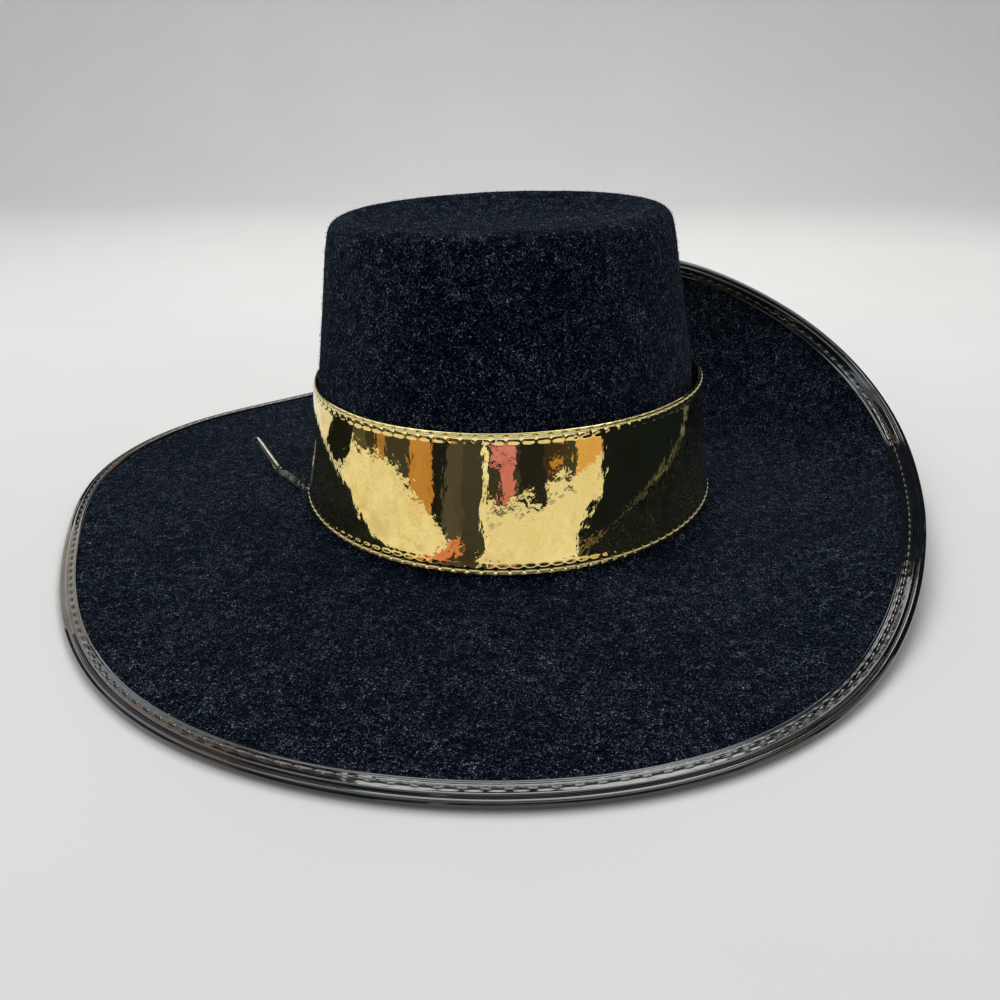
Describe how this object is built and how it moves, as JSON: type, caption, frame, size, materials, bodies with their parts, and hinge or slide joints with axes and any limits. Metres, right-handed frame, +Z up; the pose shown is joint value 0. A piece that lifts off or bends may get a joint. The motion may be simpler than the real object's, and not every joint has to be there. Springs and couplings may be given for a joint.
{
  "type": "wide-brimmed cavalier hat",
  "caption": "Black felt hat with a dished flat crown, mirror-gold band, bound brim rolled up at the back right, and a barbed chin cord.",
  "frame": {"origin": "middle of the outline in plan, on the surface the hat stands on", "axes": "+Z up, -Y towards the front as pictured, +X towards the side with the rolled-up brim"},
  "size_m": [0.3654, 0.4221, 0.1239],
  "materials": {
    "felt": "matt black wool felt with a soft nap",
    "gold_vinyl": "mirror-gold metallised vinyl",
    "black_vinyl": "black gloss vinyl tape",
    "cord": "black twisted cord",
    "barb_metal": "pale worn metal"
  },
  "bodies": {
    "root": {"felt_body": "felt", "hat_band": "gold_vinyl", "brim_binding": "black_vinyl", "chin_cord": "cord", "cord_tip_left": "barb_metal", "cord_tip_right": "barb_metal"}
  },
  "joints": []
}
